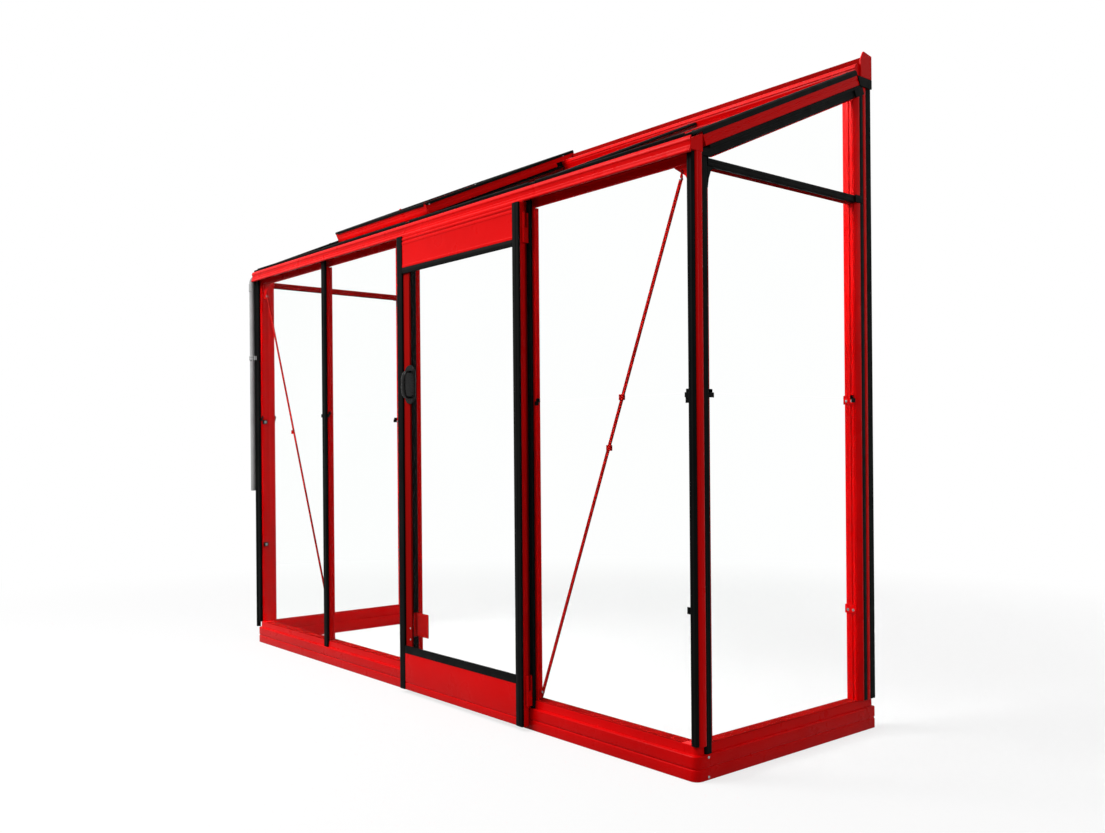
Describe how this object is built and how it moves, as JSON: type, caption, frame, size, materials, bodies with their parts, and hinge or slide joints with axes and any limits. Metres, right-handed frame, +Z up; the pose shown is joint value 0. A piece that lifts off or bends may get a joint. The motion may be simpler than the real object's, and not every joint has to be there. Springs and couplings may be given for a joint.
{
  "type": "lean-to glass greenhouse",
  "caption": "Lean-to greenhouse of red coated aluminium bars and clear glass, open at the wall side, with an eave gutter, a raised roof vent and a hinged glazed front door",
  "frame": {"origin": "centre of the bounding box in plan, at ground level", "axes": "+X along the front to the right as seen from the front, +Y from the front to the wall, +Z up"},
  "size_m": [2.611, 0.844, 2.0047],
  "materials": {
    "red_coat": "glossy baked coat, saturated red",
    "black_strip": "satin black glazing strip",
    "clear_glass": "clear float glass",
    "grey_plastic": "plain grey pipe",
    "black_plastic": "moulded black",
    "zinc_steel": "coated to match the frame"
  },
  "bodies": {
    "frame": {"base_corners": "red_coat", "base_ends": "red_coat", "base_front_left": "red_coat", "base_front_right": "red_coat", "corner_posts": "red_coat", "door_jamb_left": "red_coat", "door_jamb_right": "red_coat", "door_threshold": "red_coat", "downpipe": "grey_plastic", "eave_gussets": "red_coat", "eave_gutter": "red_coat", "end_cap_strips": "black_strip", "end_rafters": "red_coat", "end_ties": "red_coat", "front_braces": "red_coat", "front_cap_strips": "black_strip", "front_pane_1": "clear_glass", "front_pane_2": "clear_glass", "front_pane_4": "clear_glass", "gutter_ends": "red_coat", "jamb_hinge_pins": "zinc_steel", "left_end_panes": "clear_glass", "mullion_left": "red_coat", "ridge_bar": "red_coat", "ridge_ends": "red_coat", "right_end_panes": "clear_glass", "roof_bars": "red_coat", "roof_cap_strips": "black_strip", "roof_panes": "clear_glass", "vent_curb": "black_strip", "vent_edge_strip": "black_strip", "vent_frame": "red_coat", "vent_glass": "clear_glass", "vent_sill": "red_coat", "wall_posts": "red_coat", "wall_seals": "black_strip"},
    "door": {"door_stiles": "red_coat", "door_edge_strips": "black_strip", "door_top_panel": "red_coat", "door_kick_panel": "red_coat", "door_cross_strips": "black_strip", "door_glass": "clear_glass", "door_handle": "black_plastic", "door_latch_plate": "red_coat", "door_hinge_sleeves": "zinc_steel"}
  },
  "joints": [
    {"name": "door_swing", "type": "hinge", "parent": "frame", "child": "door", "pos_m": [0.6435, -0.378, 0.8], "axis": [0, 0, 1], "range_deg": [0, 110]}
  ]
}
